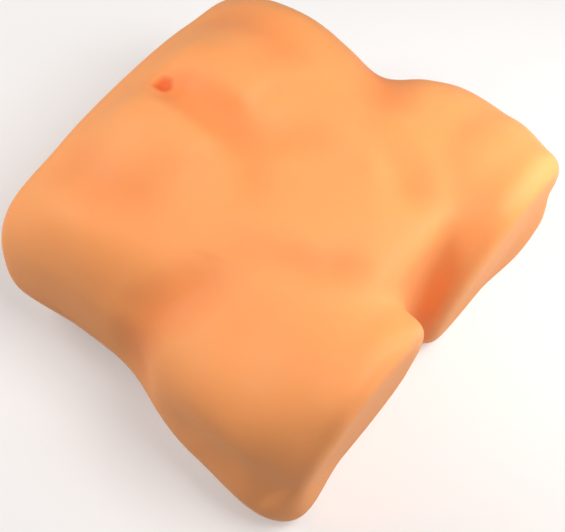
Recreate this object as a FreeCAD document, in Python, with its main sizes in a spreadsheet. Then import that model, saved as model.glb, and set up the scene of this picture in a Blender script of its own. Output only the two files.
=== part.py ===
"""A soft torso mannequin, lying on its back: lower abdomen, hips and two short thigh stumps.

The outside is one soft elastomer skin, cast over a rigid foam core. Inside the foam, a bolted steel tee keeps the
spine and the hips in line. +Y points to the head end, +X to the mannequin's own left and +Z up, through the belly.
The origin is on the resting plane, under the middle of the body. Sizes are in millimetres.
"""

import FreeCAD
import Part
import Sketcher
import math
import os
from FreeCAD import Placement, Rotation, Vector

SIZES = {
    # outside of the body
    "body_length": 313,
    "body_depth": 192,
    "hip_width": 353,
    "waist_width": 304,
    "head_end_width": 289,
    "thigh_end_width": 320,
    "crotch_depth": 39,
    "thigh_gap": 19,
    "cut_lean": 28,
    "edge_radius": 12,
    "skin_thickness": 24,
    # steel tee
    "axis_height": 92,
    "tube_radius": 12.5,
    "tube_wall": 2,
    "spine_length": 145,
    "hip_line": 48,
    "hip_tube_length": 226,
    # clamp that joins the two tubes
    "clamp_width": 76,
    "clamp_length": 76,
    "clamp_thickness": 18,
    "clamp_split": 0.5,
    "clamp_corner": 9,
    "bolt_across": 26,
    "bolt_along": 23,
    "bolt_hole_radius": 3.3,
    # plugs in the tube ends
    "plug_radius": 30,
    "plug_flange": 4,
    "plug_depth": 14,
    # M6 fasteners
    "bolt_radius": 3,
    "hex_radius": 5.8,
    "head_height": 4,
    "nut_height": 5,
    "washer_radius": 6.2,
    "washer_thickness": 1.5,
    "bolt_end": 2,
}

DOC = FreeCAD.newDocument("torso_mannequin")
SHEET = DOC.addObject("Spreadsheet::Sheet", "sizes")
PARTS = []


def write_sizes():
    """One row of the sheet for each driving dimension: its name and its value, with the name as alias."""
    for row, (name, value) in enumerate(SIZES.items(), start=1):
        SHEET.set(f"A{row}", name)
        SHEET.set(f"B{row}", str(value))
        SHEET.setAlias(f"B{row}", name)
    DOC.recompute()


def size(name):
    return float(SHEET.get(name))


def bind(thing, **formulas):
    """Binds properties to the sheet. A formula is words with spaces between them, such as "2 * tube_wall"."""
    for prop, formula in formulas.items():
        words = ["sizes." + word if word in SIZES else word for word in formula.split()]
        thing.setExpression(prop.replace("__", "."), " ".join(words))
    return thing


def add(kind, name, **formulas):
    return bind(DOC.addObject(kind, name), **formulas)


def keep(thing, label):
    """Marks an object as a sub-part. Its label names its file."""
    thing.Label = label
    PARTS.append(thing)
    return thing


# Soft body ----------------------------------------------------------------------------------------------------

RING_POINTS = 20
TRUNK_ROUNDNESS = (2.5, 3.3)
TRUNK_WIDEST = 0.48
THIGH_ROUNDNESS = (2.15, 3.0)
THIGH_WIDEST = 0.4
GROUND_BITE = 6


def ring(middle_x, half_width, low, high, along, lean=0.0, roundness=TRUNK_ROUNDNESS, widest=TRUNK_WIDEST):
    """A closed smooth outline across the body: a rounded box, flatter underneath than on top.

    along is its place on Y. lean tips its top towards the feet, in millimetres over its full height. roundness
    holds the exponents of the upper and lower halves, and widest is the height of the widest point, as a share
    of the full height. The outline starts at the top of its middle line, so that both sides come out alike.
    """
    points = []
    for step in range(RING_POINTS):
        angle = math.pi / 2 + 2 * math.pi * step / RING_POINTS
        across, rise = math.cos(angle), math.sin(angle)
        power = 2 / (roundness[0] if rise >= 0 else roundness[1])
        x = middle_x + half_width * math.copysign(abs(across) ** power, across)
        half_height = 1 - widest if rise >= 0 else widest
        share = widest + half_height * math.copysign(abs(rise) ** power, rise)
        points.append(Vector(x, along - lean * (share - 0.5), low + (high - low) * share))
    curve = Part.BSplineCurve()
    curve.interpolate(points, PeriodicFlag=True)
    return Part.Wire(curve.toShape())


def rounded_loft(rings, radius):
    """A solid through the rings, with the rims of its two flat ends rounded."""
    solid = Part.makeLoft(rings, True, False)
    rims = [face.OuterWire.Edges[0] for face in solid.Faces if face.Surface.TypeId == "Part::GeomPlane"]
    return solid.makeFillet(radius, rims)


def trunk(inset, radius):
    """The trunk, from the crotch to the head-end cut, drawn in by inset all round."""
    length, depth, crotch = size("body_length"), size("body_depth"), size("crotch_depth")
    hips, waist, end = size("hip_width") / 2, size("waist_width") / 2, size("head_end_width") / 2
    bite = 0 if inset else GROUND_BITE
    # place along the body from the thigh cuts, half width, underside, top
    stations = [
        (crotch + inset, hips - 2, -bite, depth - 19),
        (crotch + 45, hips, -bite, depth - 11),
        (crotch + 95, hips - 7, -bite / 2, depth - 13),
        (crotch + 145, waist + 1, 2, depth - 11),
        (crotch + 190, waist, 5, depth),
        (crotch + 236, waist - 3, 2, depth - 10),
        (length - inset, end, -bite, depth - 38),
    ]
    rings = [
        ring(0, half - inset, low + inset, high - inset, along - length / 2)
        for along, half, low, high in stations
    ]
    return rounded_loft(rings, radius)


def left_thigh(inset, radius):
    """The left thigh stump, from inside the hips to its leaning cut."""
    length, depth, lean = size("body_length"), size("body_depth"), size("cut_lean")
    inner, outer = size("thigh_gap") / 2, size("thigh_end_width") / 2
    bite = 0 if inset else GROUND_BITE / 2
    # a rounded rim stops short of the sharp corner of a leaning cut
    slope = lean / depth
    short = size("edge_radius") * (math.hypot(1, slope) + slope - 1)
    # place along the body from the thigh cuts, outer edge, underside, top, lean
    stations = [
        (inset + lean / 2 - short, outer, -bite, depth - 8, lean),
        (inset + 46, outer + 11, -bite, depth - 9, lean / 3),
        (inset + 108, outer - 6, 16, depth - 38, 0),
    ]
    rings = [
        ring(
            (inner + edge) / 2, (edge - inner) / 2 - inset, low + inset, high - inset,
            along - length / 2, tip, THIGH_ROUNDNESS, THIGH_WIDEST,
        )
        for along, edge, low, high, tip in stations
    ]
    return rounded_loft(rings, radius)


def body_solid(inset, radius):
    """Trunk and both thigh stumps in one, drawn in by inset, and cut flat where they rest on the ground."""
    left = left_thigh(inset, radius)
    right = left.mirror(Vector(0, 0, 0), Vector(1, 0, 0))
    reach = 2 * size("body_length")
    ground = Part.makeBox(reach, reach, reach, Vector(-reach / 2, -reach / 2, -reach))
    return trunk(inset, radius).fuse([left, right]).cut(ground).Solids[0]


def soft_form(name, inset, radius):
    form = DOC.addObject("Part::Feature", name)
    form.Shape = body_solid(inset, radius)
    return form


# Steel tee ----------------------------------------------------------------------------------------------------

ALONG_X = Rotation(Vector(0, 1, 0), 90)
ALONG_Y = Rotation(Vector(1, 0, 0), -90)
UPRIGHT = Rotation()
MIDDLE = "0"
BOLT_CORNERS = [(-1, -1), (1, -1), (1, 1), (-1, 1)]


def place(thing, turn, x, y, z):
    thing.Placement = Placement(Vector(0, 0, 0), turn)
    return bind(thing, Placement__Base__x=x, Placement__Base__y=y, Placement__Base__z=z)


def cylinder(name, radius, height, turn, x, y, z):
    return place(add("Part::Cylinder", name, Radius=radius, Height=height), turn, x, y, z)


def hexagon(name, height, x, y, z):
    prism = add("Part::Prism", name, Circumradius="hex_radius", Height=height)
    prism.Polygon = 6
    return place(prism, UPRIGHT, x, y, z)


def cut(name, base, *tools):
    result = DOC.addObject("Part::Cut", name)
    result.Base = base
    result.Refine = False
    result.Tool = tools[0] if len(tools) == 1 else fuse(name + "_tools", *tools)
    return result


def fuse(name, *shapes):
    result = DOC.addObject("Part::MultiFuse", name)
    result.Shapes = list(shapes)
    return result


def group(name, solids):
    """Several separate solids in one sub-part, such as a set of bolts."""
    compound = DOC.addObject("Part::Compound", name)
    compound.Links = solids
    return keep(compound, name)


def circle(sketch, name, formula):
    """A circle round the sketch's origin, its radius bound to the sheet."""
    index = sketch.addGeometry(Part.Circle(Vector(0, 0, 0), Vector(0, 0, 1), 1), False)
    sketch.addConstraint(Sketcher.Constraint("Coincident", index, 3, -1, 1))
    radius = sketch.addConstraint(Sketcher.Constraint("Radius", index, 1))
    sketch.renameConstraint(radius, name)
    bind(sketch, **{"Constraints__" + name: formula})


def tube(label, length, turn, x, y):
    """A round steel tube, from a ring profile padded to its length."""
    body = DOC.addObject("PartDesign::Body", label)
    profile = body.newObject("Sketcher::SketchObject", label + "_profile")
    floor = next(feature for feature in body.Origin.OriginFeatures if feature.Role == "XY_Plane")
    profile.AttachmentSupport = [(floor, "")]
    profile.MapMode = "FlatFace"
    circle(profile, "outside", "tube_radius")
    circle(profile, "inside", "tube_radius - tube_wall")
    pad = body.newObject("PartDesign::Pad", label + "_pad")
    pad.Profile = profile
    bind(pad, Length=length)
    return keep(place(body, turn, x, y, "axis_height"), label)


def end_plug(label, turn, spigot_turn, x, y):
    """A moulded plug: a wide flange that spreads the load into the foam, on a spigot that fills the tube's end."""
    flange = cylinder(label + "_flange", "plug_radius", "plug_flange", turn, x, y, "axis_height")
    spigot = cylinder(label + "_spigot", "tube_radius - tube_wall", "plug_depth", spigot_turn, x, y, "axis_height")
    return keep(fuse(label, flange, spigot), label)


def clamp_block(name, low, height):
    """A block with rounded upright corners, centred on the crossing of the two tubes."""
    block = add("Part::Box", name + "_box", Width="clamp_length", Length="clamp_width", Height=height)
    place(block, UPRIGHT, "0 - clamp_width / 2", "0 - hip_line - clamp_length / 2", low)
    DOC.recompute()
    rounded = DOC.addObject("Part::Fillet", name)
    rounded.Base = block
    radius = size("clamp_corner")
    rounded.Edges = [
        (number, radius, radius)
        for number, edge in enumerate(block.Shape.Edges, start=1)
        if abs(edge.tangentAt(edge.FirstParameter).z) > 0.9
    ]
    return rounded


def bolt_place(corner):
    across, along = corner
    return f"{across} * bolt_across", f"{along} * bolt_along - hip_line"


def clamp_half(label, low):
    """One cast half of the clamp: a groove for each tube in its split face, and four bolt holes."""
    block = clamp_block(label + "_block", low, "clamp_thickness - clamp_split / 2")
    across = cylinder(label + "_hip_groove", "tube_radius", "clamp_width", ALONG_X,
                      "0 - clamp_width / 2", "0 - hip_line", "axis_height")
    ahead = cylinder(label + "_spine_groove", "tube_radius", "clamp_length / 2", ALONG_Y,
                     MIDDLE, "0 - hip_line", "axis_height")
    holes = [
        cylinder(f"{label}_hole_{number}", "bolt_hole_radius", "clamp_thickness", UPRIGHT, *bolt_place(corner), low)
        for number, corner in enumerate(BOLT_CORNERS)
    ]
    return keep(cut(label, block, across, ahead, *holes), label)


def bolt(number, corner):
    """An M6 bolt, its head towards the belly and its end clear of the nut."""
    x, y = bolt_place(corner)
    under = "axis_height - clamp_thickness - washer_thickness - nut_height - bolt_end"
    shank = cylinder(f"shank_{number}", "bolt_radius",
                     "2 * clamp_thickness + 2 * washer_thickness + nut_height + bolt_end", UPRIGHT, x, y, under)
    head = hexagon(f"head_{number}", "head_height", x, y, "axis_height + clamp_thickness + washer_thickness")
    return fuse(f"bolt_{number}", shank, head)


def washer(name, corner, low):
    x, y = bolt_place(corner)
    disc = cylinder(name + "_disc", "washer_radius", "washer_thickness", UPRIGHT, x, y, low)
    bore = cylinder(name + "_bore", "bolt_hole_radius", "washer_thickness", UPRIGHT, x, y, low)
    return cut(name, disc, bore)


def nut(number, corner):
    x, y = bolt_place(corner)
    low = "axis_height - clamp_thickness - washer_thickness - nut_height"
    body = hexagon(f"nut_{number}_body", "nut_height", x, y, low)
    thread = cylinder(f"nut_{number}_thread", "bolt_radius", "nut_height", UPRIGHT, x, y, low)
    return cut(f"nut_{number}", body, thread)


def fasteners():
    """Four bolts, each with a washer under its head and another under its nut."""
    corners = list(enumerate(BOLT_CORNERS))
    bolts = group("clamp_bolts", [bolt(number, corner) for number, corner in corners])
    upper = [washer(f"upper_washer_{number}", corner, "axis_height + clamp_thickness")
             for number, corner in corners]
    lower = [washer(f"lower_washer_{number}", corner, "axis_height - clamp_thickness - washer_thickness")
             for number, corner in corners]
    washers = group("clamp_washers", upper + lower)
    nuts = group("clamp_nuts", [nut(number, corner) for number, corner in corners])
    return bolts, washers, nuts


def steel_tee():
    """The whole frame. Returns the space that it takes up in the foam, with its tubes filled."""
    half_hip = "hip_tube_length / 2"
    tube("hip_tube", "hip_tube_length", ALONG_X, "0 - " + half_hip, "0 - hip_line")
    spine_foot = "tube_radius + clamp_split - hip_line"
    tube("spine_tube", "spine_length", ALONG_Y, MIDDLE, spine_foot)
    plugs = [
        end_plug("hip_plug_left", ALONG_X, ALONG_X.inverted(), half_hip, "0 - hip_line"),
        end_plug("hip_plug_right", ALONG_X.inverted(), ALONG_X, "0 - " + half_hip, "0 - hip_line"),
        end_plug("spine_plug", ALONG_Y, ALONG_Y.inverted(), MIDDLE, spine_foot + " + spine_length"),
    ]
    clamp_half("clamp_front", "axis_height + clamp_split / 2")
    clamp_half("clamp_back", "axis_height - clamp_thickness")
    hip_space = cylinder("hip_space", "tube_radius", "hip_tube_length", ALONG_X,
                         "0 - " + half_hip, "0 - hip_line", "axis_height")
    spine_space = cylinder("spine_space", "tube_radius", "spine_length", ALONG_Y,
                           MIDDLE, spine_foot, "axis_height")
    clamp_space = clamp_block("clamp_space", "axis_height - clamp_thickness", "2 * clamp_thickness")
    disc_space = [
        cylinder(f"washer_space_{number}", "washer_radius", "2 * clamp_thickness + 2 * washer_thickness",
                 UPRIGHT, *bolt_place(corner), "axis_height - clamp_thickness - washer_thickness")
        for number, corner in enumerate(BOLT_CORNERS)
    ]
    bolts, _, nuts = fasteners()
    nut_space = [
        hexagon(f"nut_space_{number}", "nut_height", *bolt_place(corner),
                "axis_height - clamp_thickness - washer_thickness - nut_height")
        for number, corner in enumerate(BOLT_CORNERS)
    ]
    return fuse("tee_space", hip_space, spine_space, clamp_space, *plugs, *disc_space, *bolts.Links, *nut_space)


# Assembly -----------------------------------------------------------------------------------------------------


def check_document():
    for thing in DOC.Objects:
        if {"Invalid", "Error"} & set(thing.State):
            raise RuntimeError(f"{thing.Name} failed to compute: {thing.State}")
    for thing in PARTS:
        if thing.Shape.isNull() or not thing.Shape.isValid() or not thing.Shape.Solids:
            raise RuntimeError(f"{thing.Label} has no valid solid")


def export_parts():
    os.makedirs("parts", exist_ok=True)
    for thing in PARTS:
        thing.Shape.exportStep(f"parts/{thing.Label}.step")
        box = thing.Shape.optimalBoundingBox()
        print(f"{thing.Label}: {len(thing.Shape.Solids)} solid(s), {thing.Shape.Volume / 1000:.1f} cm3, "
              f"{box.XLength:.1f} x {box.YLength:.1f} x {box.ZLength:.1f} mm")


def main():
    write_sizes()
    outside = soft_form("outside", 0, size("edge_radius"))
    core_form = soft_form("core_form", size("skin_thickness"), size("edge_radius") / 2)
    keep(cut("skin", outside, core_form), "skin")
    keep(cut("foam_core", core_form, steel_tee()), "foam_core")
    DOC.recompute()
    check_document()
    export_parts()


main()
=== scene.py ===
# %% [markdown]
# # A soft torso mannequin, lying on its back
#
# The real object is one soft casting in the shape of a lower torso: the belly from just above the
# navel, the hips, and two short thigh stumps, cut off square at both ends. The groin is closed and
# smooth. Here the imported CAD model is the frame: it gives the size and the inner pieces, and
# Blender gives the casting its living surface. Everything is in metres. +Y points to the head end,
# +X to the mannequin's own left and +Z up, through the belly.

# %% Load the frame
import math

import bpy
import numpy as np
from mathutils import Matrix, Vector


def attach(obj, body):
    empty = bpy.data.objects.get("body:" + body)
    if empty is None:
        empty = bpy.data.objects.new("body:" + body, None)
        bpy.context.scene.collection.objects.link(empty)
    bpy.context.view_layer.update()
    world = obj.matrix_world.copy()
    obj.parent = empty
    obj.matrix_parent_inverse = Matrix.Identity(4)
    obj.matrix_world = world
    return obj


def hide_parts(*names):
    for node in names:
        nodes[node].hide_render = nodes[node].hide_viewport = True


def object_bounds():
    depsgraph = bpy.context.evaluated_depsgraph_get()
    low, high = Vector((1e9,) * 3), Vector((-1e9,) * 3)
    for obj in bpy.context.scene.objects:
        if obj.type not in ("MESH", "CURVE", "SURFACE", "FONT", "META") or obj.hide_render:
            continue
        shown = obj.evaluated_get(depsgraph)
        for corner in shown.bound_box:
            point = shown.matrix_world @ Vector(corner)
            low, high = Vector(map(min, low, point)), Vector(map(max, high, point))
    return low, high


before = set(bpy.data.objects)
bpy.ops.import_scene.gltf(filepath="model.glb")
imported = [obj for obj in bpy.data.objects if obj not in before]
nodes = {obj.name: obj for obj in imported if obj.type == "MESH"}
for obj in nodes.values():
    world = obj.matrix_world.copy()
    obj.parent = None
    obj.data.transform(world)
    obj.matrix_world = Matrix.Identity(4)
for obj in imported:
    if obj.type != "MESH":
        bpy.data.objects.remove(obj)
cad_low, cad_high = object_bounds()
middle = (cad_low + cad_high) / 2
half_width = (cad_high.x - cad_low.x) / 2
length = cad_high.y - cad_low.y
print(f"the CAD model is {2 * half_width:.3f} m wide and {length:.3f} m long, with {len(nodes)} nodes")

# %% [markdown]
# ## The camera
#
# The camera stands at the feet, on the mannequin's right, and looks steeply down. A camera is
# easier to place by where it stands round the object than by its own coordinates, so its azimuth,
# elevation and distance are turned into a place, and its lens is aimed at a point near the middle
# of the belly. A long lens keeps the body's outline true.

# %% Camera
AZIMUTH, ELEVATION = math.radians(-51.6), math.radians(60)
DISTANCE = 1.023
LENS = 85.5
AIM = middle + Vector((-0.0225, -0.018, -0.013))

away = Vector((
    math.sin(AZIMUTH) * math.cos(ELEVATION),
    -math.cos(AZIMUTH) * math.cos(ELEVATION),
    math.sin(ELEVATION),
))
bpy.ops.object.select_all(action="DESELECT")
bpy.ops.object.camera_add(location=AIM + away * DISTANCE)
camera = bpy.context.object
camera.name = "camera"
camera.rotation_euler = (-away).to_track_quat("-Z", "Y").to_euler()
camera.data.lens = LENS
bpy.context.scene.camera = camera
print("camera at", [round(value, 3) for value in camera.location])

# %% [markdown]
# ## The floor and the light
#
# A casting like this looks soft only in soft light: large lamps, far wider than the object, whose
# shadows have no edge. The key lamp stands above the feet, a little to the mannequin's left, and
# shows the muscles. A second lamp, behind the head end and on the right, wraps round the belly from
# the other side. A small near one at the left foot brightens the rims of the thigh cuts, and fades
# quickly with distance, as a near lamp does. The world adds almost nothing, because light from
# everywhere would flatten the form. A floor lit so would be grey, and dark towards the horizon, so
# the paper and the world behind it look paler to the camera than the body finds them, and the paper
# glows a little further out, too far off to light the body.

# %% Floor and lamps
WORLD_LIGHT, WORLD_SEEN = 0.06, 0.9
PAPER_SEEN = 0.24
GLOW_START, GLOW_FULL, GLOW = 0.7, 2.2, 0.85
FLOOR_SIZE = 12


def lamp(name, azimuth, elevation, distance, size, power, colour):
    """A square lamp, turned towards the body. Azimuth 0 is at the feet, and 90 on the mannequin's left."""
    turn, lift = math.radians(azimuth), math.radians(elevation)
    away = Vector((math.sin(turn) * math.cos(lift), -math.cos(turn) * math.cos(lift), math.sin(lift)))
    bpy.ops.object.light_add(type="AREA", location=middle + away * distance)
    light = bpy.context.object
    light.name = name
    light.data.size = size
    light.data.energy = power
    light.data.color = colour
    light.rotation_euler = away.to_track_quat("Z", "Y").to_euler()


bpy.ops.object.select_all(action="DESELECT")
lamp("key_lamp", 12, 60, 1.5, 0.8, 16.8, (1, 0.99, 0.98))
lamp("wrap_lamp", 206, 36, 1.5, 0.9, 15, (1, 0.98, 0.96))
lamp("rim_lamp", 38, 30, 0.46, 0.25, 1, (1, 0.98, 0.95))

world = bpy.data.worlds.new("studio")
world.use_nodes = True
background = world.node_tree.nodes["Background"]
strength = world.node_tree.nodes.new("ShaderNodeMapRange")
strength.inputs["To Min"].default_value = WORLD_LIGHT
strength.inputs["To Max"].default_value = WORLD_SEEN
ray = world.node_tree.nodes.new("ShaderNodeLightPath")
background.inputs["Color"].default_value = (1, 1, 1, 1)
world.node_tree.links.new(ray.outputs["Is Camera Ray"], strength.inputs["Value"])
world.node_tree.links.new(strength.outputs["Result"], background.inputs["Strength"])
bpy.context.scene.world = world
bpy.context.scene.view_settings.view_transform = "Standard"

bpy.ops.mesh.primitive_plane_add(size=FLOOR_SIZE, location=(0, 0, cad_low.z))
floor = bpy.context.object
floor.name = "floor"
paper = bpy.data.materials.new("paper_floor")
paper.use_nodes = True
made = paper.node_tree.nodes.new
place, far = made("ShaderNodeTexCoord"), made("ShaderNodeVectorMath")
far.operation = "LENGTH"
glow = made("ShaderNodeMapRange")
for name, value in {"From Min": GLOW_START, "From Max": GLOW_FULL, "To Min": 0, "To Max": GLOW}.items():
    glow.inputs[name].default_value = value
seen, lift = made("ShaderNodeLightPath"), made("ShaderNodeMath")
lift.operation = "MULTIPLY_ADD"
lift.inputs[1].default_value = PAPER_SEEN
shader = paper.node_tree.nodes["Principled BSDF"]
shader.inputs["Base Color"].default_value = (0.66, 0.655, 0.65, 1)
shader.inputs["Roughness"].default_value = 0.9
shader.inputs["Emission Color"].default_value = (1, 1, 1, 1)
for output, target in (
    (place.outputs["Object"], far.inputs[0]),
    (far.outputs["Value"], glow.inputs["Value"]),
    (seen.outputs["Is Camera Ray"], lift.inputs[0]),
    (glow.outputs["Result"], lift.inputs[2]),
    (lift.outputs["Value"], shader.inputs["Emission Strength"]),
):
    paper.node_tree.links.new(output, target)
floor.data.materials.append(paper)

# %% [markdown]
# ## The casting's rough form
#
# The CAD skin already has the true outline, so it is the clay to start from. A CAD mesh is loose
# triangles of very uneven sizes, and a sculptor's tool needs small even faces. So a copy is merged,
# its outer surface is taken off, and a voxel remesh lays an even net of squares over it. Smoothing
# then melts the hard creases where the trunk meets the thighs. The inner wall, round the foam, is
# kept as it is for later.

# %% Outer surface and inner wall
def select_only(piece):
    bpy.ops.object.select_all(action="DESELECT")
    piece.select_set(True)
    bpy.context.view_layer.objects.active = piece


def span(piece):
    """How far the piece reaches across the body."""
    across = [vertex.co.x for vertex in piece.data.vertices]
    return max(across) - min(across)


casting = bpy.data.objects.new("skin_casting", nodes["skin"].data.copy())
bpy.context.collection.objects.link(casting)
select_only(casting)
bpy.ops.object.mode_set(mode="EDIT")
bpy.ops.mesh.select_all(action="SELECT")
bpy.ops.mesh.remove_doubles(threshold=1e-6)
bpy.ops.mesh.mark_sharp(clear=True)
bpy.ops.mesh.customdata_custom_splitnormals_clear()
bpy.ops.mesh.separate(type="LOOSE")
bpy.ops.object.mode_set(mode="OBJECT")
shells = sorted(bpy.context.selected_objects, key=span)
inner_wall, casting = shells[0], shells[-1]
casting.name, inner_wall.name = "skin_casting", "inner_wall"
print("the two shells reach", [round(span(shell), 3) for shell in shells], "m across")

# %% Even net
VOXEL = 0.0026

select_only(casting)
casting.data.remesh_voxel_size = VOXEL
casting.data.remesh_voxel_adaptivity = 0
bpy.ops.object.voxel_remesh()
print("the net has", len(casting.data.polygons), "faces")


# %% Melt the creases
def smooth_where(test, repeat):
    """Relaxes the vertices whose place passes the test."""
    select_only(casting)
    bpy.ops.object.mode_set(mode="EDIT")
    bpy.ops.mesh.select_mode(type="VERT")
    bpy.ops.mesh.select_all(action="DESELECT")
    bpy.ops.object.mode_set(mode="OBJECT")
    for vertex in casting.data.vertices:
        vertex.select = test(vertex.co)
    bpy.ops.object.mode_set(mode="EDIT")
    bpy.ops.mesh.vertices_smooth(factor=0.5, repeat=repeat)
    bpy.ops.object.mode_set(mode="OBJECT")


def share_along(place):
    return (place.y - cad_low.y) / length


smooth_where(lambda place: 0.1 < share_along(place) < 0.45 and place.z > 0.008, repeat=25)
smooth_where(lambda place: place.z > 0.002, repeat=15)

# %% [markdown]
# ## A sculptor's tools
#
# By hand, this would be done in sculpt mode with a soft brush, drawn along each furrow and each
# muscle. Code can do the same: every vertex near a path is moved along its own normal, by an amount
# that fades with its distance from the path and towards the path's ends. Places on the belly are
# given as shares, so that they follow the frame: 0 to 1 across, from the middle line to the widest
# part of the hip, and 0 to 1 along, from the thigh cuts to the head end.

# %% Places on the surface
TOP, SIDE = Vector((0, 0, 1)), Vector((1, 0, 0))


def on_belly(across, along):
    """The point on the upper surface at these shares."""
    start = Vector((across * half_width, cad_low.y + along * length, cad_high.z + 0.1))
    return land(start, -TOP)


def on_flank(side, along, rise):
    """The point on the left (1) or right (-1) flank, at a share of the length and a share of the height."""
    start = Vector((side * (half_width + 0.1), cad_low.y + along * length, cad_low.z + rise * cad_high.z))
    return land(start, -side * SIDE)


def land(start, direction):
    hit, place, _, _ = casting.ray_cast(start, direction)
    if not hit:
        raise RuntimeError(f"nothing lies under {start}")
    return np.array(place)


# %% A finer net at the navel
NAVEL_SHARE = 0.86
NAVEL_RADIUS = 0.009

centre = Vector(on_belly(0, NAVEL_SHARE))
select_only(casting)
bpy.ops.object.mode_set(mode="EDIT")
bpy.ops.mesh.select_mode(type="FACE")
bpy.ops.mesh.select_all(action="DESELECT")
bpy.ops.object.mode_set(mode="OBJECT")
for face in casting.data.polygons:
    face.select = (face.center - centre).length < 3 * NAVEL_RADIUS
bpy.ops.object.mode_set(mode="EDIT")
bpy.ops.mesh.subdivide(number_cuts=2, smoothness=0)
bpy.ops.object.mode_set(mode="OBJECT")
print("the net has", len(casting.data.polygons), "faces now")

# %% The brush
def read(source, name):
    """One row of three numbers for each vertex."""
    values = np.empty(len(source) * 3, np.float32)
    source.foreach_get(name, values)
    return values.reshape(-1, 3).astype(float)


def positions():
    return read(casting.data.vertices, "co")


def normals():
    return read(casting.data.vertex_normals, "vector")


def reach(points, path):
    """For each point, its distance from the path and how far along the path it lies, from 0 to 1."""
    path = np.array(path)
    steps = np.linalg.norm(np.diff(path, axis=0), axis=1)
    passed = np.concatenate([[0], np.cumsum(steps)])
    nearest = np.full(len(points), np.inf)
    share = np.zeros(len(points))
    for start, end, step, before in zip(path[:-1], path[1:], steps, passed):
        along = np.clip((points - start) @ (end - start) / step**2, 0, 1)
        distance = np.linalg.norm(points - start - along[:, None] * (end - start), axis=1)
        closer = distance < nearest
        nearest[closer] = distance[closer]
        share[closer] = ((before + along * step) / passed[-1])[closer]
    return nearest, share


def soft(value):
    value = np.clip(value, 0, 1)
    return value * value * (3 - 2 * value)


def brush(path, radius, push, fade_in=0.25, fade_out=0.25):
    """Moves the surface along its normals by push, in metres, close to the path, fading at its two ends."""
    distance, share = reach(positions(), path)
    weight = soft(1 - distance / radius)
    if fade_in:
        weight *= soft(share / fade_in)
    if fade_out:
        weight *= soft((1 - share) / fade_out)
    moved = positions() + normals() * (weight * push)[:, None]
    casting.data.vertices.foreach_set("co", moved.astype(np.float32).ravel())
    casting.data.update()
    return weight


def both_sides(place, points):
    """The same path on the mannequin's right and on its left."""
    for side in (-1, 1):
        yield [place(side * across, along) for across, along in points]


# %% [markdown]
# ## The belly
#
# The belly of a lean body has two long muscles beside the middle line, with a shallow furrow
# between them, and a furrow at their outer edges where the side muscles begin. Broad swellings come
# first and furrows after, as in clay: a furrow cut into a swelling keeps its sharp bottom.

# %% Swellings of the belly
# This weight gathers how deep each vertex lies in a furrow; later it paints shade, a darker and redder
# colour, into the rubber there.
crease_shade_weight = np.zeros(len(casting.data.vertices))

for path in both_sides(on_belly, [(0.17, 0.94), (0.2, 0.8), (0.2, 0.64)]):
    brush(path, radius=0.032, push=0.0052, fade_in=0.3, fade_out=0.12)
for path in both_sides(on_belly, [(0.64, 0.97), (0.68, 0.84), (0.7, 0.7), (0.6, 0.58), (0.5, 0.5)]):
    brush(path, radius=0.04, push=0.0035)
for side in (-1, 1):
    ribs = [on_flank(side, 0.97, rise) for rise in (0.1, 0.35, 0.6)]
    brush(ribs, radius=0.07, push=0.0075, fade_in=0, fade_out=0)

# %% Furrows of the belly
brush([on_belly(0, 0.98), on_belly(0, 0.89)], radius=0.02, push=-0.0012, fade_in=0.4, fade_out=0.4)
middle_furrow = [(0, 0.88), (0, 0.72), (0.02, 0.63), (0.08, 0.56), (0.18, 0.51), (0.32, 0.48)]
for path in both_sides(on_belly, middle_furrow):
    crease_shade_weight += 0.5 * brush(path, radius=0.026, push=-0.004, fade_in=0.15, fade_out=0.3)
for path in both_sides(on_belly, [(0.45, 0.98), (0.5, 0.87), (0.52, 0.77), (0.46, 0.68), (0.4, 0.62)]):
    crease_shade_weight += 0.6 * brush(path, radius=0.036, push=-0.0036)
print("belly done")

# %% [markdown]
# ## The groin and the thighs
#
# A furrow runs from each side of the waist inwards and down, and another leaves it beside the mound
# of the pubic bone and runs on between the thighs. Together they make the V of a lean belly. On
# this mannequin the middle is only a low closed mound. On the outside, a long shallow valley parts
# the front of the thigh from the seat.

# %% Groin
for side in (-1, 1):
    waist = [on_flank(side, 0.54, rise) for rise in (0.25, 0.5)]
    fold = [(0.8, 0.53), (0.7, 0.49), (0.58, 0.455), (0.46, 0.45), (0.37, 0.49)]
    fold = [on_belly(side * across, along) for across, along in fold]
    crease_shade_weight += 0.8 * brush(waist + fold, radius=0.033, push=-0.0065, fade_in=0.3, fade_out=0.3)
for path in both_sides(on_belly, [(0.27, 0.58), (0.27, 0.48), (0.26, 0.39), (0.23, 0.31), (0.12, 0.24)]):
    brush(path, radius=0.028, push=0.0032, fade_in=0.35, fade_out=0.35)
crease = [(0.4, 0.5), (0.39, 0.43), (0.36, 0.35), (0.3, 0.28), (0.21, 0.22), (0.1, 0.18)]
for path in both_sides(on_belly, crease):
    crease_shade_weight += 0.9 * brush(path, radius=0.025, push=-0.0075, fade_in=1, fade_out=0.3)

# %% Thighs and seat
for side in (-1, 1):
    outer_edge = [on_flank(side, along, 0.74) for along in (0.48, 0.34, 0.2, 0.06)]
    brush(outer_edge, radius=0.05, push=0.006, fade_in=0.4, fade_out=0.3)
    valley = ((0.44, 0.5), (0.3, 0.48), (0.18, 0.43), (0.08, 0.34))
    valley = [on_flank(side, along, rise) for along, rise in valley]
    brush(valley, radius=0.045, push=-0.0044, fade_in=0.3, fade_out=0.1)
    corner = [on_flank(side, 0.13, 0.08), on_flank(side, 0.12, 0.2)]
    brush(corner, radius=0.065, push=0.009, fade_in=0, fade_out=0)
    rim = [on_belly(side * across, 0.045) for across in (0.2, 0.32, 0.5, 0.68, 0.82)]
    brush(rim, radius=0.02, push=0.0034)
smooth_where(lambda place: abs(place.x) < 0.06 and share_along(place) < 0.3 and place.z > 0.05, repeat=10)
print("groin and thighs done")

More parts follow.
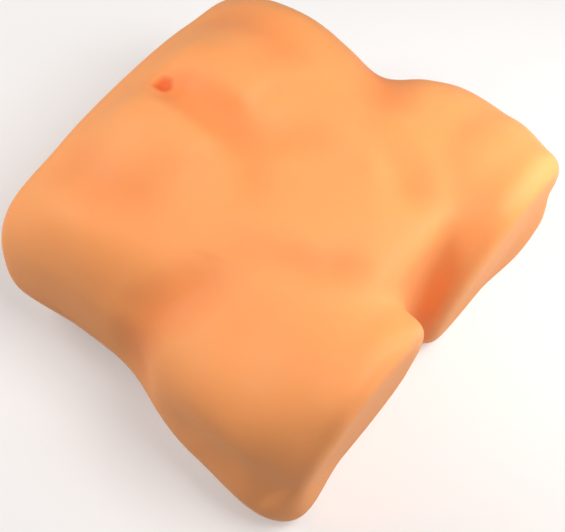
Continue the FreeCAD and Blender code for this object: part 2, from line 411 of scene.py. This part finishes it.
# %% [markdown]
# ## The navel
#
# The navel is a small deep pit in the middle line, in a shallow dish. The faces there are finer
# than elsewhere, so that the pit stays round.

# %% Navel
navel = on_belly(0, NAVEL_SHARE)
ahead = np.array((0, 0.002, 0))
pit = [navel - ahead, navel + ahead]
# Both brushes also add to the painted shade weights, most of all in the pit.
crease_shade_weight += 0.5 * brush(pit, radius=2.4 * NAVEL_RADIUS, push=-0.002, fade_in=0, fade_out=0)
crease_shade_weight += 3 * brush(pit, radius=NAVEL_RADIUS, push=-0.005, fade_in=0, fade_out=0)
print("navel at", np.round(navel, 3))

# %% Finish the surface
DEEPEST = 3

smooth_where(lambda place: True, repeat=4)
places = positions()
places[:, 2] = np.maximum(places[:, 2], cad_low.z)
casting.data.vertices.foreach_set("co", places.astype(np.float32).ravel())

# The furrow weights are kept on the mesh, to paint shade, a darker and redder colour, into the furrows and
# the navel.
tone = casting.data.attributes.new("crease_shade_weight", "FLOAT", "POINT")
tone.data.foreach_set("value", np.clip(crease_shade_weight, 0, DEEPEST).astype(np.float32))

# %% [markdown]
# ## The shell
#
# The casting is hollow: the foam core sits in it. So the inner wall, kept from the CAD skin, is
# joined back, and the two surfaces together enclose the rubber. The inner wall's faces point into
# the hollow, as they did in the CAD model.

# %% Join the inner wall
select_only(casting)
inner_wall.select_set(True)
bpy.ops.object.join()
bpy.ops.object.shade_smooth()
print("the casting has", sum(len(face.vertices) - 2 for face in casting.data.polygons), "triangles")

# %% [markdown]
# ## The elastomer
#
# The casting is one soft rubber, coloured all through, so its finish has no edges or wear. What
# makes it look soft is light that enters, scatters and comes out redder: the shader's subsurface
# part does that. The hollows look warmer and darker than the swellings, and that shade is painted:
# the weights that the brush left are kept on the mesh and mix a darker, redder colour in there.
# Slow clouds of colour and a very fine grain keep it from looking like paint.

# %% Node helpers
def new_material(name):
    made = bpy.data.materials.new(name)
    made.use_nodes = True
    return made


def add_node(material, kind, values=(), **settings):
    """A new shader node. values are its inputs by name, and settings its other properties."""
    made = material.node_tree.nodes.new("ShaderNode" + kind)
    for name, value in settings.items():
        setattr(made, name, value)
    for name, value in dict(values).items():
        made.inputs[name].default_value = value
    return made


def wire(material, output, target):
    material.node_tree.links.new(output, target)


def shader_of(material):
    return material.node_tree.nodes["Principled BSDF"]


def set_shader(material, **values):
    """Sets the main shader's inputs. A name's underscores are spaces."""
    for name, value in values.items():
        shader_of(material).inputs[name.replace("_", " ")].default_value = value


def noise(material, scale, detail=2):
    """A noise pattern on the piece's own coordinates."""
    place = add_node(material, "TexCoord")
    pattern = add_node(material, "TexNoise", {"Scale": scale, "Detail": detail})
    wire(material, place.outputs["Object"], pattern.inputs["Vector"])
    return pattern.outputs["Fac"]


def tint(material, colour, amount, tone):
    """Mixes tone into the colour, or colour socket, where amount is high."""
    mix = add_node(material, "Mix", data_type="RGBA")
    mix.inputs["B"].default_value = (*tone, 1)
    if isinstance(colour, tuple):
        mix.inputs["A"].default_value = (*colour, 1)
    else:
        wire(material, colour, mix.inputs["A"])
    wire(material, amount, mix.inputs["Factor"])
    return mix.outputs["Result"]


def paint(material, colour):
    wire(material, colour, shader_of(material).inputs["Base Color"])


# %% Elastomer
# The strength of the painted shade, then the colours: two tones of the rubber that vary at random, and a
# darker, redder painted shade for the furrows.
CREASE_SHADE_STRENGTH = 0.37
TAN, PALE, PAINTED_CREASE_SHADE = (0.93, 0.342, 0.105), (0.93, 0.38, 0.138), (0.8, 0.15, 0.035)

elastomer = new_material("elastomer_skin")
colour = tint(elastomer, TAN, noise(elastomer, scale=11, detail=3), PALE)
# Painted shade: the furrow weights mix the darker, redder colour in.
depth = add_node(elastomer, "Attribute", attribute_name="crease_shade_weight")
crease_shade_amount = add_node(elastomer, "Math", operation="MULTIPLY")
crease_shade_amount.inputs[1].default_value = CREASE_SHADE_STRENGTH
wire(elastomer, depth.outputs["Fac"], crease_shade_amount.inputs[0])
colour = tint(elastomer, colour, crease_shade_amount.outputs[0], PAINTED_CREASE_SHADE)
paint(elastomer, colour)
set_shader(elastomer, Roughness=0.55, Specular_IOR_Level=0.27, Subsurface_Weight=0.35,
           Subsurface_Radius=(1, 0.42, 0.22), Subsurface_Scale=0.012, IOR=1.43)
grain = add_node(elastomer, "Bump", {"Strength": 0.12, "Distance": 0.0003})
wire(elastomer, noise(elastomer, scale=1300, detail=2), grain.inputs["Height"])
wire(elastomer, grain.outputs["Normal"], shader_of(elastomer).inputs["Normal"])

casting.data.materials.clear()
casting.data.materials.append(elastomer)
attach(casting, "root")
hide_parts("skin")

# %% [markdown]
# ## What the skin hides
#
# The core and the steel tee are never seen in use, but each piece still gets its real finish, so
# that a cut-away or a spare part looks right. These are the CAD nodes themselves with better
# materials: rigid foam with small cells, bright tube with marks along its length, moulded nylon,
# sandy cast aluminium and zinc with its faint clouds.

# %% Foam and plugs
def rough_up(material, pattern, strength, distance):
    """Turns a pattern into small bumps, distance metres deep."""
    bump = add_node(material, "Bump", {"Strength": strength, "Distance": distance})
    wire(material, pattern, bump.inputs["Height"])
    wire(material, bump.outputs["Normal"], shader_of(material).inputs["Normal"])


def finish(names, material):
    """Gives the CAD nodes of these names the material in all their slots."""
    for name in names:
        piece = nodes[name]
        for slot in piece.material_slots:
            slot.material = material
        if not piece.material_slots:
            piece.data.materials.append(material)
    print(material.name, "on", ", ".join(names))


def cells(material, scale):
    place = add_node(material, "TexCoord")
    pattern = add_node(material, "TexVoronoi", {"Scale": scale})
    wire(material, place.outputs["Object"], pattern.inputs["Vector"])
    return pattern.outputs["Distance"]


foam = new_material("rigid_foam")
paint(foam, tint(foam, (0.8, 0.68, 0.42), noise(foam, scale=14, detail=3), (0.72, 0.58, 0.33)))
set_shader(foam, Roughness=0.9)
rough_up(foam, cells(foam, scale=900), strength=0.5, distance=0.0004)
finish(["foam_core"], foam)

nylon = new_material("moulded_nylon")
paint(nylon, tint(nylon, (0.02, 0.02, 0.022), noise(nylon, scale=60), (0.035, 0.035, 0.038)))
set_shader(nylon, Roughness=0.5)
rough_up(nylon, noise(nylon, scale=2500), strength=0.2, distance=0.0001)
finish(["hip_plug_left", "hip_plug_right", "spine_plug"], nylon)


# %% Tubes, clamps and fasteners
def drawn_steel(name, stretch):
    """Bright drawn tube, with marks along the axis in which stretch is small."""
    steel = new_material(name)
    place = add_node(steel, "TexCoord")
    along = add_node(steel, "Mapping")
    along.inputs["Scale"].default_value = stretch
    marks = add_node(steel, "TexNoise", {"Scale": 1, "Detail": 4})
    wire(steel, place.outputs["Object"], along.inputs["Vector"])
    wire(steel, along.outputs["Vector"], marks.inputs["Vector"])
    paint(steel, tint(steel, (0.56, 0.57, 0.58), marks.outputs["Fac"], (0.44, 0.45, 0.46)))
    set_shader(steel, Metallic=1, Roughness=0.32)
    rough_up(steel, marks.outputs["Fac"], strength=0.15, distance=0.0001)
    return steel


finish(["hip_tube"], drawn_steel("drawn_steel_across", (15, 1500, 1500)))
finish(["spine_tube"], drawn_steel("drawn_steel_along", (1500, 15, 1500)))

cast = new_material("cast_aluminium")
paint(cast, tint(cast, (0.6, 0.6, 0.61), noise(cast, scale=120, detail=3), (0.45, 0.45, 0.46)))
set_shader(cast, Metallic=1, Roughness=0.55)
rough_up(cast, noise(cast, scale=1800, detail=3), strength=0.5, distance=0.0003)
finish(["clamp_front", "clamp_back"], cast)

zinc = new_material("zinc_plating")
paint(zinc, tint(zinc, (0.62, 0.64, 0.66), noise(zinc, scale=90, detail=2), (0.68, 0.66, 0.55)))
set_shader(zinc, Metallic=1, Roughness=0.28)
rough_up(zinc, noise(zinc, scale=3000, detail=2), strength=0.1, distance=0.0001)
finish(["clamp_bolts", "clamp_washers", "clamp_nuts"], zinc)
